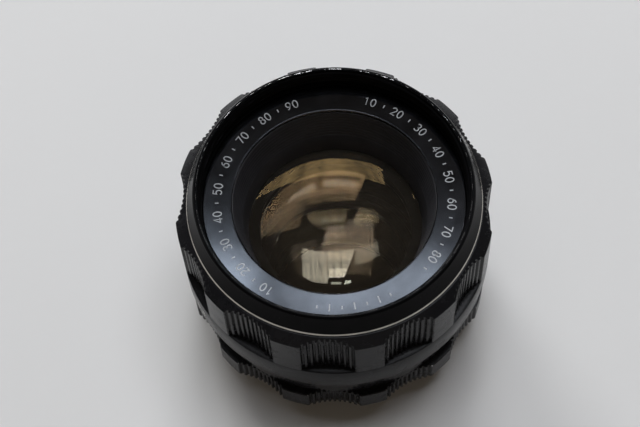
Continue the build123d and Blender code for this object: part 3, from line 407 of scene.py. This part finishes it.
def aperture_section(radius, worn):
    low = min(radius, APERTURE_R - 0.3)
    high = min(radius, APERTURE_R - 0.15)
    top = max(high, BAND_R)
    body = max(radius, BAND_R)
    return [
        (FOOT_BORE, APERTURE_LOW + 0.15, 0, 0), (FOOT_BORE + 0.15, APERTURE_LOW, 0, 0),
        (low - 0.05, APERTURE_LOW, 0, 0), (low, APERTURE_LOW + 0.01, 0.3 * worn, 0),
        (radius, APERTURE_LOW + 0.3, 0.6 * worn, 0), (radius, APERTURE_LOW + 0.5, 0.2 * worn, 0),
        (radius, GRIP_TOP - 3.0, 0, 0), (radius, GRIP_TOP - 1.0, 0.2 * worn, 0),
        (body, GRIP_TOP - 0.98, 0.3 * worn, 0), (body, GRIP_TOP - 0.4, 0.5 * worn, 0),
        (body, GRIP_TOP - 0.18, worn, 0), (top, GRIP_TOP - 0.015, worn, 0),
        (top - 0.06, GRIP_TOP, 0.5 * worn, 0), (BAND_R + 0.02, GRIP_TOP, 0, 0),
        (BAND_R, GRIP_TOP + 0.02, 0, 0), (BAND_R + 0.28, BAND_TOP - 0.25, 0, 0),
        (BAND_R + 0.28, BAND_TOP - 0.12, 0.5, 0), (BAND_R + 0.19, BAND_TOP - 0.02, 0.5, 0),
        (BAND_R + 0.05, BAND_TOP, 0, 0), (BAND_BORE + 0.02, BAND_TOP, 0, 0),
        (BAND_BORE, BAND_TOP - 0.05, 0, 0), (BAND_BORE, GRIP_TOP + 0.1, 0, 0),
        (FOOT_BORE + 0.05, GRIP_TOP + 0.1, 0, 0), (FOOT_BORE, GRIP_TOP + 0.05, 0, 0),
    ]


APERTURE_HOLLOW_R = 27.3
APERTURE_LAND_AZIMUTH = 10.05 - 90
aperture_grip_azimuths = grip_azimuths(APERTURE_R, APERTURE_HOLLOW_R, APERTURE_LAND_AZIMUTH)
aperture_columns = [(azimuth, aperture_section(radius, worn))
                    for azimuth, radius, worn in aperture_grip_azimuths]
aperture_grip = columns_piece("aperture_grip_ring", aperture_columns, "aperture", "black_satin",
                              [ring_black])
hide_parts("aperture_ring")

# ---------------------------------------------------------------- front barrel with its filter thread
THREAD_PITCH = 0.75
THREAD_LOW = 38.85
THREAD_HIGH = 42.0
THREAD_ROOT = 24.5
THREAD_CREST = 24.1
SEGMENTS = 480


def thread_radius(z, azimuth, pitch, low, high, root, crest):
    """Radius of a V thread at a height and azimuth; it fades at both ends."""
    phase = (z / pitch - azimuth / 360) % 1.0
    shape = 1 - abs(2 * phase - 1)
    shape = min(1.0, max(0.0, 1.25 * shape - 0.12))
    fade = min(1.0, max(0.0, (z - low) / 0.3)) * min(1.0, max(0.0, (high - z) / 0.3))
    return root + (crest - root) * shape * fade


barrel_outer = rounded([
    (25.2, 27.0, 0.1, 0, 0), (26.0, 27.0, 0.15, 0, 0), (26.0, 38.1, 0.05, 0, 0),
    (26.72, 38.1, 0.08, 0.2, 0),
    (26.85, 38.2, 0, 0.0, 1), (26.85, 38.4, 0, 0.0, 1), (26.7, 38.68, 0, 0.0, 0),
    (25.38, 42.2, 0.12, 0.25, 0), (25.12, 42.53, 0.08, 0.55, 0), (24.98, 42.6, 0.05, 0.75, 0),
    (24.72, 42.6, 0.06, 1.0, 0),
])
barrel_inner = rounded([
    (24.0, 37.95, 0, 0, 0), (24.0, 37.3, 0, 0, 0), (22.5, 37.3, 0, 0, 0), (22.5, 36.9, 0, 0, 0),
    (19.7, 36.9, 0, 0, 0), (19.7, 35.5, 0, 0, 0), (25.2, 35.5, 0, 0, 0),
])
thread_steps = 52
barrel_columns = []
for k in range(SEGMENTS):
    azimuth = 360 * k / SEGMENTS
    section = list(barrel_outer) + [(24.52, 42.38, 0.5, 0), (24.5, 42.15, 0.0, 0)]
    for step in range(thread_steps + 1):
        z = THREAD_HIGH - (THREAD_HIGH - THREAD_LOW) * step / thread_steps
        radius = thread_radius(z, azimuth, THREAD_PITCH, THREAD_LOW, THREAD_HIGH,
                               THREAD_ROOT, THREAD_CREST)
        section.append((radius, z, 0.45 if radius < 24.2 else 0.0, 0))
    section += [(24.5, 38.6, 0.0, 0), (24.5, 38.08, 0.0, 0), (24.0, 38.05, 0.0, 0)] + barrel_inner
    barrel_columns.append((azimuth, section))
front = columns_piece("filter_rim", barrel_columns, "optics", "black_satin", [rim_black, edge_alloy],
                      sharp=28)
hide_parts("front_barrel")

# ---------------------------------------------------------------- name ring and light-trapping cone
name_section = rounded([
    (23.95, 37.35, 0.03, 0, 0), (23.95, 38.0, 0.06, 0.3, 0), (18.72, 38.0, 0.04, 0.4, 0),
    (18.57, 37.87, 0.04, 0.2, 0), (18.57, 37.33, 0.03, 0, 0),
])
plate = lathe("name_plate_ring", name_section, "optics", "name_plate", [plate_black], 480, 24)
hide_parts("name_ring")

cone_corners = [(16.15, 27.45, 0.03, 0, 0), (17.15, 27.0, 0.03, 0, 0), (17.9, 27.0, 0.05, 0, 0),
                (17.9, 32.7, 0, 0, 0), (18.55, 32.7, 0, 0, 0), (18.55, 34.1, 0, 0, 0),
                (19.5, 34.1, 0, 0, 0), (19.5, 37.25, 0.04, 0, 0), (18.5, 37.25, 0.04, 0, 0)]
cone_slope = (18.45 - 16.15) / (37.25 - 27.45)
for groove in range(8):
    z = 37.25 - 0.30 - groove * 0.72
    wall = 18.45 + (z - 37.25) * cone_slope
    cone_corners += [(wall, z, 0.03, 0, 0), (wall + 0.26, z - 0.05, 0.0, 0, 0),
                     (wall + 0.22, z - 0.12, 0.0, 0, 0), (wall - 0.11, z - 0.50, 0.03, 0, 0)]
cone = lathe("light_trap_cone", rounded(cone_corners, 2), "optics", "black_matte", [cone_black], 360, 24)
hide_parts("front_cone")


# ---------------------------------------------------------------- lens elements
def sag(curvature_radius, height):
    size = abs(curvature_radius)
    return math.copysign(size - math.sqrt(size * size - height * height), curvature_radius)


def surface(vertex_z, curvature_radius, edge, steps=28):
    """Outline of a spherical surface from the axis to its edge."""
    heights = [edge * k / steps for k in range(steps + 1)]
    return [(height, vertex_z - sag(curvature_radius, height)) for height in heights]


def element(number, front, rear, outer_r, coats, slot):
    """One lens element from its front and rear surfaces, with a ground edge between them."""
    outline = front[:-1] + [(front[-1][0] - 0.04, front[-1][1]), (outer_r, front[-1][1] - 0.04)]
    outline += [(outer_r, rear[-1][1] + 0.04)] + rear[::-1]
    piece = disc(f"element_{number}", outline, "optics", slot, coats, len(front) - 1)
    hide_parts(f"lens_{number}")


# each surface is its vertex height, its radius (positive bulges to the front) and its edge radius
element(1, surface(31.3, 35, 17.2), surface(27.1, 93, 17.2), 17.2,
        [dusty_coat, amber_coat], "coated_glass")
element(2, surface(26.9, 21.5, 14.2), surface(22.5, 44, 14.2), 14.2,
        [front_coat, inner_amber], "inner_glass")
element(3, surface(21.6, 50, 12.6), surface(19.4, 15.5, 11.3), 12.6,
        [inner_amber, front_coat], "inner_glass")
element(4, surface(8.8, -16.5, 9.8), surface(7.6, 80, 10.8), 10.8,
        [pale_coat, front_coat], "inner_glass")
element(5, surface(7.58, 80, 10.8), surface(3.2, -22, 10.8), 10.8,
        [front_coat, pale_coat], "inner_glass")
element(6, surface(3.0, 300, 11.6), surface(0.7, -50, 11.6), 11.6,
        [purple_coat, purple_coat], "rear_glass")

# ---------------------------------------------------------------- engraved scales, filled with paint
FILL_HEIGHT = 0.012
FILL_DEPTH = 0.04


def arc(middle_x, middle_y, radius_x, radius_y, start, stop, steps=10):
    points = []
    for k in range(steps + 1):
        angle = math.radians(start + (stop - start) * k / steps)
        points.append((middle_x + radius_x * math.cos(angle), middle_y + radius_y * math.sin(angle)))
    return points


SIX = [(0.50, 0.97), (0.30, 0.86)]
SIX += arc(0.33, 0.33, 0.27, 0.33, 150, 180, 2) + arc(0.31, 0.31, 0.26, 0.31, 180, 520, 18)
# single-stroke numerals, one unit high
NUMERALS = {
    "0": [arc(0.3, 0.5, 0.27, 0.5, 0, 360, 20)],
    "1": [[(0.14, 0.80), (0.34, 1.0), (0.34, 0.0)]],
    "2": [arc(0.3, 0.72, 0.26, 0.28, 165, -25, 9) + [(0.04, 0.0), (0.58, 0.0)]],
    "3": [arc(0.3, 0.75, 0.23, 0.25, 150, -80, 9) + arc(0.3, 0.26, 0.27, 0.26, 80, -150, 10)],
    "4": [[(0.44, 0.0), (0.44, 1.0), (0.02, 0.28), (0.60, 0.28)]],
    "5": [[(0.54, 1.0), (0.12, 1.0), (0.07, 0.56)] + arc(0.29, 0.33, 0.28, 0.33, 115, -150, 11)],
    "6": [SIX],
    "7": [[(0.04, 1.0), (0.58, 1.0), (0.24, 0.0)]],
    "8": [arc(0.3, 0.76, 0.21, 0.24, -90, 270, 16), arc(0.3, 0.27, 0.27, 0.27, 90, 450, 18)],
    "9": [[(0.6 - x, 1.0 - y) for x, y in SIX]],
    ".": [[(0.12, 0.0), (0.12, 0.10)]],
}
ENDLESS = [arc(0.3, 0.45, 0.26, 0.24, 0, 360, 18), arc(0.84, 0.45, 0.26, 0.24, 180, 540, 18)]


def numeral_strokes(text, height, middle, base):
    """Strokes of a number centred on a distance along the scale, standing on a base."""
    widths = [0.30 if letter == "." else 0.62 for letter in text]
    gap = 0.2
    x = middle - height * (sum(widths) + gap * (len(text) - 1)) / 2
    strokes = []
    for letter, width in zip(text, widths):
        for stroke in NUMERALS[letter]:
            strokes.append([(x + u * height, base + v * height) for u, v in stroke])
        x += height * (width + gap)
    return strokes


def paint_marks(name, strokes, place, width, body, slot, material):
    """Thin solid ribbons along strokes; place(u, v, lift) gives the point in space."""
    verts, faces = [], []
    for stroke in strokes:
        points = [Vector(point) for point in stroke]
        closed = (points[0] - points[-1]).length < 1e-6
        if closed:
            points.pop()
        count = len(points)
        start = len(verts)
        for k, point in enumerate(points):
            before = points[k - 1] if closed or k else point
            after = points[(k + 1) % count] if closed or k < count - 1 else point
            first = (point - before).normalized() if point != before else (after - point).normalized()
            second = (after - point).normalized() if after != point else first
            side = (first + second).normalized()
            side = Vector((-side.y, side.x)) * width / 2 / max(0.6, side.dot(first))
            corners = ((side, FILL_HEIGHT), (side, -FILL_DEPTH), (-side, -FILL_DEPTH), (-side, FILL_HEIGHT))
            for offset, lift in corners:
                verts.append(place(point.x + offset.x, point.y + offset.y, lift))
        for k in range(count if closed else count - 1):
            here, there = start + 4 * k, start + 4 * ((k + 1) % count)
            for side_index in range(4):
                after = (side_index + 1) % 4
                faces.append((here + side_index, there + side_index, there + after, here + after))
        if not closed:
            last = start + 4 * (count - 1)
            faces += [(start, start + 1, start + 2, start + 3), (last + 3, last + 2, last + 1, last)]
    mesh_piece(name, verts, faces, body, slot, [material])


def face_place(radius, height):
    """Scale on a flat ring: read clockwise from in front, tops outward."""
    def place(u, v, lift):
        return polar(radius + v, -math.degrees(u / radius), height + lift)
    return place


def drum_place(radius, low, high_radius=None, high=None):
    """Scale round a drum or cone: read from outside, tops towards the front."""
    slope = (high_radius - radius) / (high - low) if high else 0.0

    def place(u, v, lift):
        return polar(radius + v * slope + lift, math.degrees(u / radius), low + v)
    return place


def along(radius, degrees):
    return math.radians(degrees) * radius


# a plain dial of numbers and ticks round the name ring
DIAL_R = 20.55
DIAL_HEIGHT = 1.55
SMALL_TICK = (0.45, 1.1)
dial = []
# each run: how many numbers, azimuth of the first, degrees between numbers, how many ticks
for count, azimuth, step, ticks in ((9, 232, 15.5, 8), (8, 68, 15.0, 8)):
    for k in range(count):
        middle = azimuth - k * step
        dial += numeral_strokes(str((k + 1) * 10), DIAL_HEIGHT, along(DIAL_R, -middle), 0.0)
        if k < ticks:
            tick = along(DIAL_R, -(middle - step / 2))
            dial.append([(tick, end) for end in SMALL_TICK])
for degrees in range(258, 300, 6):
    tick = along(DIAL_R, -degrees)
    ends = (0.1, 1.45) if degrees % 12 == 0 else (0.5, 1.1)
    dial.append([(tick, end) for end in ends])
paint_marks("name_ring_dial", dial, face_place(DIAL_R, 38.0), 0.2, "optics", "name_plate", plate_paint)

# distance scale on the skirt of the focusing ring
INDEX = 90  # azimuth of the index mark
FOCAL_LENGTH = 55.0
FOOT = 0.3048
FOCUS_TURN = 240.0
FOCUS_TRAVEL = 9.1


def focus_turned(distance):
    """Degrees the ring has turned when a subject at this distance, in metres from the film, is sharp."""
    room = distance * 1000 - 2 * FOCAL_LENGTH
    beyond = (room + math.sqrt(room * room - 4 * FOCAL_LENGTH**2)) / 2
    return FOCAL_LENGTH**2 / beyond * FOCUS_TURN / FOCUS_TRAVEL


metres = [(text, focus_turned(float(text))) for text in ("10", "5", "3", "2", "1.5", "1.2", "1", "0.8")]
distances = []
for text, turn in metres:
    distances += numeral_strokes(text, 1.45, along(FOCUS_R, INDEX + turn), 1.25)
    distances.append([(along(FOCUS_R, INDEX + turn), 0.1), (along(FOCUS_R, INDEX + turn), 0.85)])
for ellipse in ENDLESS:
    distances.append([(along(FOCUS_R, INDEX) + (u - 0.57) * 1.6, 1.3 + v * 1.6) for u, v in ellipse])
distances.append([(along(FOCUS_R, INDEX), 0.1), (along(FOCUS_R, INDEX), 0.85)])
skirt = drum_place(FOCUS_R, 20.0)
paint_marks("distance_scale", distances, skirt, 0.2, "focus", "black_satin", paint_white)
feet = [(text, focus_turned(float(text) * FOOT)) for text in ("25", "12", "8", "6", "4", "3")]
foot_scale = []
for text, turn in feet:
    foot_scale += numeral_strokes(text, 1.35, along(FOCUS_R, INDEX + turn), 3.9)
paint_marks("foot_scale", foot_scale, skirt, 0.18, "focus", "black_satin", paint_orange)

# depth-of-field marks and the index on the fixed ring
LAST_FREE = 12  # degrees; marks farther round on this side would crowd the automatic/manual tab
fixed = []
for text, turn in (("4", 5.5), ("8", 10.5), ("11", 15.5), ("16", 21.5)):
    for side in (-1, 1):
        if side == 1 and turn > LAST_FREE:
            continue
        fixed += numeral_strokes(text, 1.25, along(27.9, INDEX + side * turn), 1.2)
        fixed.append([(along(27.9, INDEX + side * turn), 2.75), (along(27.9, INDEX + side * turn), 3.5)])
fixed_ring = drum_place(27.785, 15.5, 28.21, 19.3)
paint_marks("depth_scale", fixed, fixed_ring, 0.17, "barrel", "black_satin", paint_white)
index = [[(along(27.75, INDEX), 0.2), (along(27.75, INDEX), 3.6)]]
paint_marks("index_mark", index, fixed_ring, 0.5, "barrel", "black_satin", paint_orange)

# aperture numbers, evenly spaced over the ring's travel
stops = []
for k, text in enumerate(("1.8", "2.8", "4", "5.6", "8", "11", "16")):
    middle = INDEX - k * APERTURE_THROW / 6
    stops += numeral_strokes(text, 1.55, along(27.3, middle), 0.35)
    stops.append([(along(27.3, middle), 2.2), (along(27.3, middle), 2.65)])
number_band = drum_place(27.28, 12.3, 27.53, 14.95)
paint_marks("aperture_scale", stops, number_band, 0.18, "aperture", "black_satin", paint_white)

# ---------------------------------------------------------------- finishes of the CAD pieces
finishes = {
    cell_black: ("front_cell", "lens_spacer_1", "lens_spacer_2"),
    matte_black: (
        "rear_cell", "rear_baffle", "iris_housing", "iris_cover", "iris_actuator", "rear_group_ring",
        "rear_retaining_ring",
    ),
    mount_black: ("main_barrel", "rear_plate", "mount_flange"),
    satin_black: ("dof_ring", "mode_switch"),
    alloy: ("inner_helicoid", "cell_retaining_ring", "sleeve_retaining_ring"),
    brass: ("focus_sleeve", "focus_shim"),
    bronze: ("click_spring",),
    blued: tuple(f"iris_blade_{k}" for k in range(1, 7)),
    steel: (
        "mount_screws", "guide_key_screws", "dof_ring_screws", "focus_ring_screws", "front_barrel_screws",
        "front_cell_screws", "rear_cell_screws", "click_spring_screw", "focus_stop_pin", "click_ball",
        "stop_down_pin", "stop_down_spring", "pin_bracket", "guide_key_1", "guide_key_2", "aperture_lever",
    ),
}
for material, names in finishes.items():
    for name in names:
        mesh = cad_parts[name].data
        mesh.materials.clear()
        mesh.materials.append(material)

# ---------------------------------------------------------------- table, light and camera
floor_nodes = Nodes("pale_table")
floor_tones = (0.70, 0.695, 0.68, 1), (0.73, 0.725, 0.71, 1)
floor_nodes.put("Base Color", floor_nodes.mix(floor_nodes.noise(14, 3), *floor_tones))
floor_nodes.put("Roughness", 0.62)
floor_nodes.put("Normal", floor_nodes.bump(floor_nodes.noise(700, 4), 2e-5, 0.4))
floor_mesh = bpy.data.meshes.new("table_top")
floor_half, floor_z = 6, -0.00002
floor_corners = [(x * floor_half, y * floor_half, floor_z) for x, y in ((-1, -1), (1, -1), (1, 1), (-1, 1))]
floor_mesh.from_pydata(floor_corners, [], [(0, 1, 2, 3)])
floor_mesh.materials.append(floor_nodes.material)
floor = bpy.data.objects.new("table_top", floor_mesh)
scene.collection.objects.link(floor)


def soft_light(name, azimuth, elevation, distance, width, height, radiance, colour):
    """Rectangular soft light that faces the lens from an azimuth and elevation, in degrees and metres."""
    light = bpy.data.lights.new(name, "AREA")
    light.shape = "RECTANGLE"
    light.size = width
    light.size_y = height
    light.energy = radiance * width * height * math.pi
    light.color = colour
    lamp = bpy.data.objects.new(name, light)
    direction = Vector(polar(1.0, azimuth)) * math.cos(math.radians(elevation))
    direction.z = math.sin(math.radians(elevation))
    lamp.location = direction * distance
    lamp.rotation_euler = (-direction).to_track_quat("-Z", "Y").to_euler()
    lamp.visible_camera = False
    scene.collection.objects.link(lamp)


def bright_pane(name, corners, radiance, colour):
    """Flat glowing pane above the lens; its corners are slopes from the lens, towards +X and +Y."""
    n = Nodes(name)
    n.put("Base Color", (0, 0, 0, 1))
    folds = n.math("ADD", n.math("MULTIPLY", n.noise(9, 3, stretch=(3.2, 0.15, 1.0)), 0.55),
                   n.math("MULTIPLY", n.noise(34, 3, 0.7, stretch=(3.2, 0.04, 1.0)), 0.45))
    n.put("Emission Color", n.mix(n.range(folds, 0.36, 0.64), tuple(0.35 * c for c in colour) + (1.0,),
                                  tuple(1.5 * c for c in colour) + (1.0,)))
    n.put("Emission Strength", radiance)
    height = 1.5
    top_z = height + PANE_FOOT_Z
    mesh = bpy.data.meshes.new(name)
    mesh.from_pydata([(x * height, y * height, top_z) for x, y in corners], [], [range(len(corners))])
    mesh.materials.append(n.material)
    pane = bpy.data.objects.new(name, mesh)
    pane.visible_camera = False
    scene.collection.objects.link(pane)


DAYLIGHT = (0.95, 0.98, 1.05)
bright_pane("window_low", [
    (0.46, -0.02), (0.46, 0.44), (0.16, 0.44), (0.12, 0.345), (0.12, 0.2), (-0.135, 0.2), (-0.235, -0.02),
], 6.0, DAYLIGHT)
bright_pane("window_middle", [
    (0.12, 0.345), (-0.07, 0.345), (-0.10, 0.28), (-0.135, 0.2), (0.12, 0.2),
], 14.0, DAYLIGHT)
bright_pane("window_high", [
    (0.10, 0.41), (0.10, 0.445), (-0.022, 0.459), (-0.034, 0.41),
], 6.6, (0.86, 1.0, 1.09))
bright_pane("window_high_left", [
    (-0.070, 0.405), (-0.058, 0.461), (-0.15, 0.455), (-0.15, 0.405),
], 12.5, (0.85, 1.0, 1.10))
bright_pane("window_side", [
    (-0.22, 0.2), (-0.24, 0.0), (-0.55, 0.0), (-0.55, 0.2),
], 2.2, DAYLIGHT)
soft_light("window_left", 112, 26, 1.6, 0.50, 0.95, 8.0, (0.97, 0.98, 1.0))
soft_light("window_right", 84, 26, 1.6, 0.50, 0.95, 6.6, (0.97, 0.98, 1.0))
soft_light("room", -90, 30, 2.0, 3.0, 1.2, 0.18, (1.0, 0.80, 0.62))

world = bpy.data.worlds.new("room_light")
scene.world = world
world.use_nodes = True
tree = world.node_tree
background = tree.nodes["Background"]
path = tree.nodes.new("ShaderNodeLightPath")
seen = tree.nodes.new("ShaderNodeMix")
seen.data_type = "RGBA"
seen.inputs[6].default_value = (0.060, 0.052, 0.042, 1)
seen.inputs[7].default_value = (0.62, 0.62, 0.61, 1)
tree.links.new(path.outputs["Is Camera Ray"], seen.inputs["Factor"])
tree.links.new(seen.outputs[2], background.inputs["Color"])

scene.view_settings.view_transform = "Standard"

# the camera looks down at the front rim from the near side, a little rolled
elevation = math.radians(63.52)
roll = math.radians(-3.93)
distance, shift_x, shift_y = 290.09 * MM, 2.43 * MM, 4.63 * MM
back = Vector((0, -math.cos(elevation), math.sin(elevation)))
level_up = Vector((0, math.sin(elevation), math.cos(elevation)))
level_right = Vector((1, 0, 0))
right = level_right * math.cos(roll) + level_up * math.sin(roll)
up = level_up * math.cos(roll) - level_right * math.sin(roll)
camera_data = bpy.data.cameras.new("camera")
camera_data.lens = 91.36
camera_data.sensor_width = 36.0
camera_data.clip_start = 0.01
camera = bpy.data.objects.new("camera", camera_data)
place = Vector((0, 0, RIM_Z * MM)) - right * shift_x - up * shift_y + back * distance
camera.matrix_world = Matrix((
    (right.x, up.x, back.x, place.x),
    (right.y, up.y, back.y, place.y),
    (right.z, up.z, back.z, place.z),
    (0, 0, 0, 1),
))
scene.collection.objects.link(camera)
scene.camera = camera
